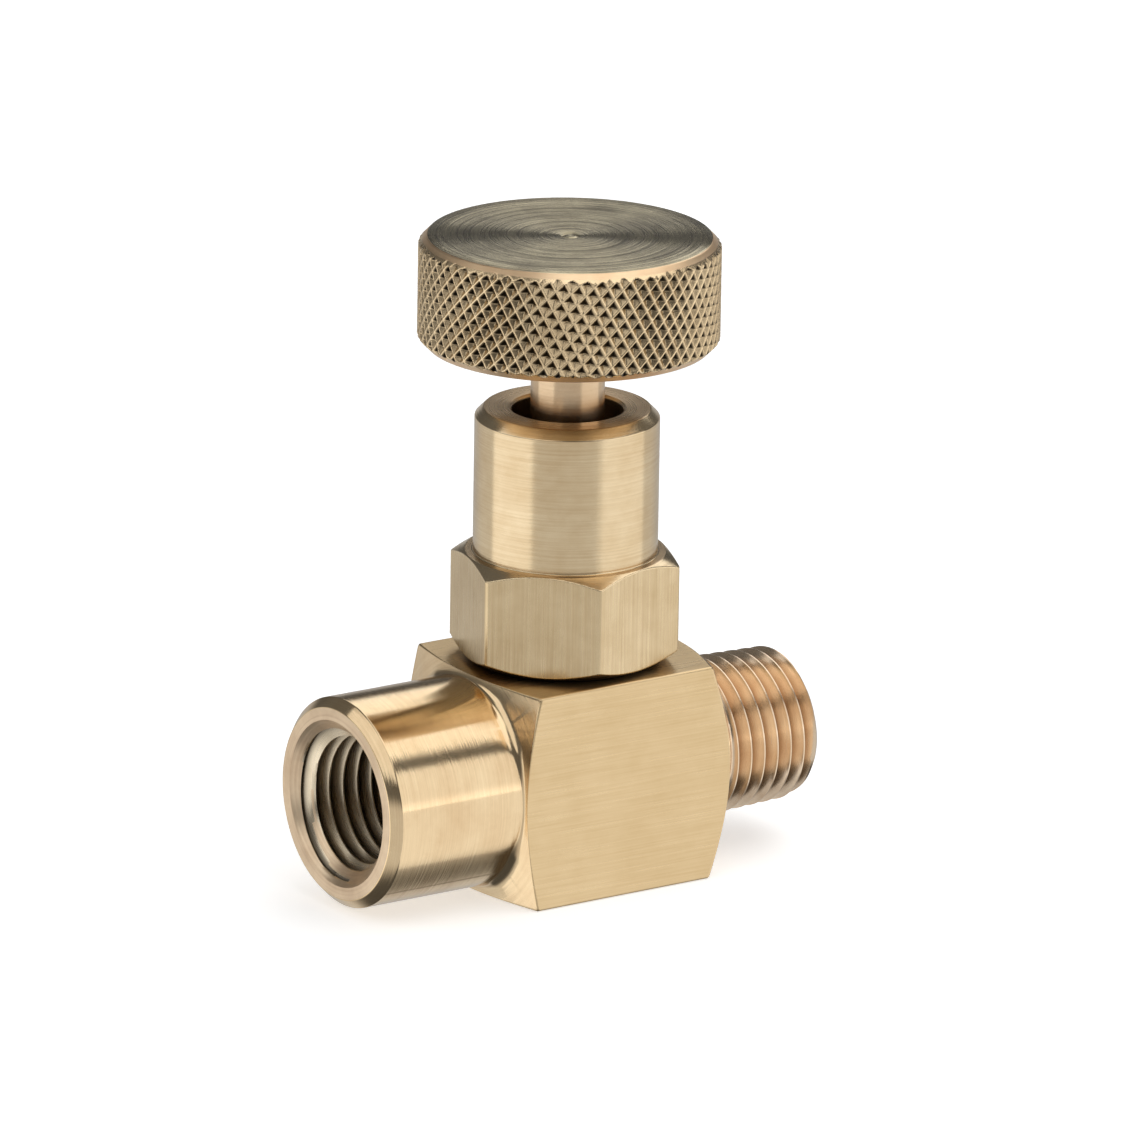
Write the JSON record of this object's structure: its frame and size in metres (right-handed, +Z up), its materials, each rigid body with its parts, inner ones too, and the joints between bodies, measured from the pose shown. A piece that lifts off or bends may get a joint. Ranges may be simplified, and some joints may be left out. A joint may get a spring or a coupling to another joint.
{
  "type": "needle valve",
  "caption": "Small brass needle valve: square bar body with female and male taper pipe ends, hexagon bonnet, stem and round knurled knob.",
  "frame": {"origin": "on the stem axis at the flat underside of the square bar body", "axes": "+X along the flow axis towards the male outlet, +Z up the stem axis towards the knob, +Y towards the rear face"},
  "size_m": [0.0459, 0.0259, 0.0564],
  "materials": {
    "body_brass": "satin",
    "bonnet_brass": "satin",
    "stem_brass": "satin",
    "knob_brass": "satin",
    "tip_steel": "satin",
    "seal_rubber": "matte",
    "ptfe": "matte",
    "screw_steel": "satin"
  },
  "bodies": {
    "valve_housing": {"valve_body": "body_brass", "bonnet": "bonnet_brass", "bonnet_seal_ring": "ptfe"},
    "stem_carriage": {"needle_tip": "tip_steel", "stem_o_ring": "seal_rubber", "backup_ring_lower": "ptfe", "backup_ring_upper": "ptfe"},
    "stem_and_knob": {"stem": "stem_brass", "tip_retainer": "tip_steel", "knob": "knob_brass", "knob_set_screw": "screw_steel"}
  },
  "joints": [
    {"name": "stem_rise", "type": "slide", "parent": "valve_housing", "child": "stem_carriage", "axis": [0, 0, 1], "range_m": [0, 0.00317]},
    {"name": "stem_turn", "type": "hinge", "parent": "stem_carriage", "child": "stem_and_knob", "pos_m": [0, 0, 0.0413], "axis": [0, 0, 1], "range_deg": [0, 1080]}
  ],
  "couplings": [
    {"joint": "stem_turn", "follows": "stem_rise", "rad_per_m": 5936.9}
  ]
}
